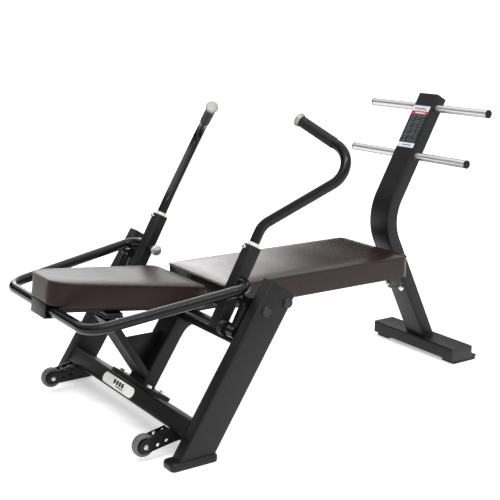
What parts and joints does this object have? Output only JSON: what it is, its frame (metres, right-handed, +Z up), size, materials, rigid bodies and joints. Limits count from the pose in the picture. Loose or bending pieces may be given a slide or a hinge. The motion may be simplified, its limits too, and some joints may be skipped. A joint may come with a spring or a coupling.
{
  "type": "abdominal crunch bench",
  "caption": "Lie-back crunch bench with a swinging padded back rest, U-bar, adjustable handles, seat pad, transport wheels and a bent rear post with foot pegs.",
  "frame": {"origin": "on the floor under the middle of the outline", "axes": "+X along the bench from the U-bar to the foot-peg post, +Y to the lying user's left, +Z up"},
  "size_m": [1.622, 0.915, 0.971],
  "materials": {
    "frame_paint": "matt black powder coat with a fine texture",
    "lever_paint": "matt black powder coat with a fine texture",
    "rubber": "matt moulded rubber",
    "grip": "ribbed matt rubber sleeve",
    "upholstery": "dark brown coated upholstery, satin",
    "board": "black-backed pad board",
    "bright_steel": "bright turned steel",
    "zinc": "zinc-plated fasteners",
    "bush": "black bearing nylon",
    "collar": "cream nylon",
    "cap": "black moulded plastic",
    "badge": "off-white printed film",
    "placard": "printed film",
    "tyre": "grey polyurethane tread",
    "hub": "black nylon hub",
    "grip_cap": "bright end cap"
  },
  "bodies": {
    "frame": {"left_leg": "frame_paint", "right_leg": "frame_paint", "left_foot_cap": "rubber", "right_foot_cap": "rubber", "lower_cross_beam": "frame_paint", "badge_plate": "badge", "upper_cross_beam": "frame_paint", "leg_bolt_caps": "cap", "left_wheel_bracket": "frame_paint", "right_wheel_bracket": "frame_paint", "wheel_axles": "zinc", "base_flange": "frame_paint", "base_bolts": "zinc", "centre_post": "frame_paint", "rest_strut": "frame_paint", "gusset_plate": "frame_paint", "rest_bumper": "rubber", "seat_beam": "frame_paint", "seat_board": "board", "seat_pad": "upholstery", "seat_flange": "frame_paint", "seat_flange_bolts": "zinc", "rear_post": "frame_paint", "rear_post_cap": "cap", "placard": "placard", "foot_pegs": "bright_steel", "peg_end_caps": "cap", "rear_foot": "frame_paint", "rear_foot_end_caps": "cap", "rear_foot_pads": "rubber", "pivot_brackets": "frame_paint", "pivot_bushes": "bush", "bracket_bolts": "zinc"},
    "back_rest": {"pivot_shaft": "bright_steel", "u_bar": "lever_paint", "left_sleeve": "lever_paint", "right_sleeve": "lever_paint", "left_brace": "lever_paint", "right_brace": "lever_paint", "tip_bracket": "lever_paint", "carrier_beam": "lever_paint", "back_board": "board", "back_pad": "upholstery", "sleeve_collars": "collar", "set_screws": "zinc", "pin_housing": "lever_paint"},
    "left_wheel": {"left_tyre": "tyre", "left_hub": "hub"},
    "right_wheel": {"right_tyre": "tyre", "right_hub": "hub"},
    "left_handle_unit": {"left_handle": "lever_paint", "left_grip": "grip", "left_grip_cap": "grip_cap"},
    "right_handle_unit": {"right_handle": "lever_paint", "right_grip": "grip", "right_grip_cap": "grip_cap"},
    "left_pin": {"left_pull_pin": "bright_steel"}
  },
  "joints": [
    {"name": "back_rest_hinge", "type": "hinge", "parent": "frame", "child": "back_rest", "pos_m": [-0.36203, 0, 0.352], "axis": [0, 1, 0], "range_deg": [0, 38]},
    {"name": "left_wheel_spin", "type": "hinge", "parent": "frame", "child": "left_wheel", "pos_m": [-0.64203, 0.337, 0.05], "axis": [0, 1, 0], "continuous": true},
    {"name": "right_wheel_spin", "type": "hinge", "parent": "frame", "child": "right_wheel", "pos_m": [-0.64203, -0.337, 0.05], "axis": [0, 1, 0], "continuous": true},
    {"name": "left_handle_slide", "type": "slide", "parent": "back_rest", "child": "left_handle_unit", "axis": [0.4848, 0, 0.8746], "range_m": [-0.02, 0.05]},
    {"name": "right_handle_slide", "type": "slide", "parent": "back_rest", "child": "right_handle_unit", "axis": [0.4848, 0, 0.8746], "range_m": [-0.02, 0.05]},
    {"name": "left_pin_pull", "type": "slide", "parent": "back_rest", "child": "left_pin", "axis": [0, -1, 0], "range_m": [0, 0.01], "stiffness_N_per_m": 500, "springref_m": -0.01}
  ]
}
